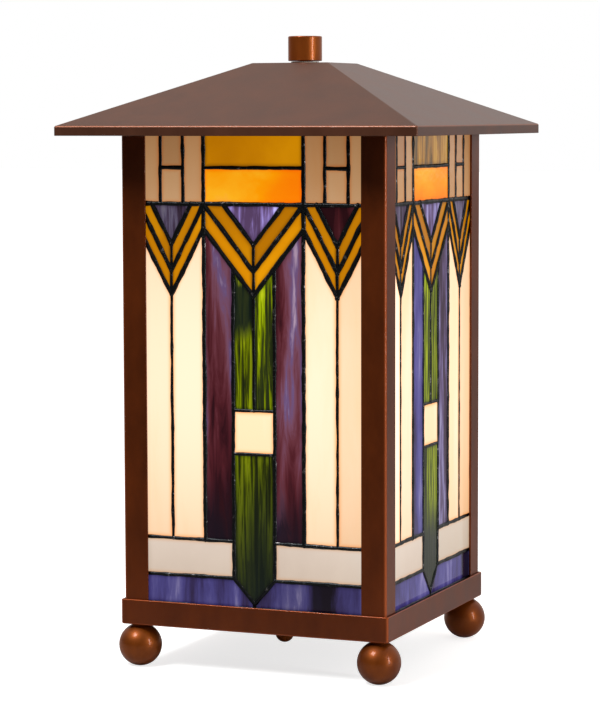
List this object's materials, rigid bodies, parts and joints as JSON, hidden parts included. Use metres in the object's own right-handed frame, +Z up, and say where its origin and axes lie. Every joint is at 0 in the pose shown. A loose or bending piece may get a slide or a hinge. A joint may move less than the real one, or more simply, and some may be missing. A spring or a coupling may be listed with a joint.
{
  "type": "stained glass table lamp",
  "caption": "Square metal lantern table lamp with leaded glass panels, a pyramid roof held by a finial, ball feet, a turn switch and a screw-in bulb.",
  "frame": {"origin": "on the table, under the middle of the lamp", "axes": "+Z up, -Y towards the front panel, +X to the right; the side of the turn switch is -Y"},
  "size_m": [0.2132, 0.2132, 0.3556],
  "materials": {
    "bronze_paint": "semi-gloss antique bronze paint",
    "solder": "black patina on soldered copper foil",
    "art_glass": "streaky opalescent sheet glass in cream, amber, orange, purple and green",
    "bulb_glass": "frosted",
    "plated_steel": "zinc plated",
    "brass": "plain turned brass",
    "phenolic": "moulded phenolic",
    "nylon": "natural nylon",
    "wire_insulation": "brown insulation"
  },
  "bodies": {
    "lamp_body": {"base_tray": "bronze_paint", "foot_ball_front_left": "bronze_paint", "foot_ball_front_right": "bronze_paint", "foot_ball_back_right": "bronze_paint", "foot_ball_back_left": "bronze_paint", "foot_screw_front_left": "plated_steel", "foot_screw_front_right": "plated_steel", "foot_screw_back_right": "plated_steel", "foot_screw_back_left": "plated_steel", "corner_post_front_left": "bronze_paint", "corner_post_front_right": "bronze_paint", "corner_post_back_right": "bronze_paint", "corner_post_back_left": "bronze_paint", "retainer_front_left": "bronze_paint", "retainer_front_right": "bronze_paint", "retainer_back_right": "bronze_paint", "retainer_back_left": "bronze_paint", "bottom_rail_front": "bronze_paint", "bottom_rail_right": "bronze_paint", "bottom_rail_back": "bronze_paint", "bottom_rail_left": "bronze_paint", "top_rail_front": "bronze_paint", "top_rail_right": "bronze_paint", "top_rail_back": "bronze_paint", "top_rail_left": "bronze_paint", "solder_net_front": "solder", "solder_net_right": "solder", "solder_net_back": "solder", "solder_net_left": "solder", "glass_panel_front": "art_glass", "glass_panel_right": "art_glass", "glass_panel_back": "art_glass", "glass_panel_left": "art_glass", "crossbar": "plated_steel", "stud": "plated_steel", "stud_nut_lower": "plated_steel", "stud_nut_upper": "plated_steel", "riser_pipe": "brass", "pipe_nut": "brass", "pipe_lock_nut": "brass", "holder_body": "phenolic", "holder_screw_shell": "brass", "holder_contact": "brass", "switch_body": "phenolic", "switch_nut": "brass", "cord_bush": "nylon", "lead_inlet_to_switch": "wire_insulation", "lead_inlet_to_holder": "wire_insulation", "lead_switch_to_holder": "wire_insulation"},
    "roof": {"roof": "bronze_paint"},
    "finial_washer": {"finial_washer": "nylon"},
    "finial": {"finial": "bronze_paint"},
    "bulb_contact": {"bulb_contact": "brass"},
    "bulb": {"bulb_glass": "bulb_glass", "bulb_cap": "plated_steel"},
    "switch_knob": {"switch_knob": "bronze_paint"}
  },
  "joints": [
    {"name": "roof_lift", "type": "slide", "parent": "lamp_body", "child": "roof", "axis": [0, 0, 1], "range_m": [0, 0.1]},
    {"name": "finial_rise", "type": "slide", "parent": "roof", "child": "finial_washer", "axis": [0, 0, 1], "range_m": [0, 0.01]},
    {"name": "finial_turn", "type": "hinge", "parent": "finial_washer", "child": "finial", "pos_m": [0, 0, 0.3415], "axis": [0, 0, 1], "range_deg": [0, 3600]},
    {"name": "bulb_rise", "type": "slide", "parent": "lamp_body", "child": "bulb_contact", "axis": [0, 0, 1], "range_m": [0, 0.01633]},
    {"name": "bulb_turn", "type": "hinge", "parent": "bulb_contact", "child": "bulb", "pos_m": [0, 0, 0.078], "axis": [0, 0, 1], "range_deg": [0, 1620]},
    {"name": "switch_turn", "type": "hinge", "parent": "lamp_body", "child": "switch_knob", "pos_m": [0, -0.033, 0.0164], "axis": [0, 0, -1], "continuous": true}
  ],
  "couplings": [
    {"joint": "finial_rise", "follows": "finial_turn", "m_per_rad": 0.00015915},
    {"joint": "bulb_rise", "follows": "bulb_turn", "m_per_rad": 0.00057773}
  ]
}
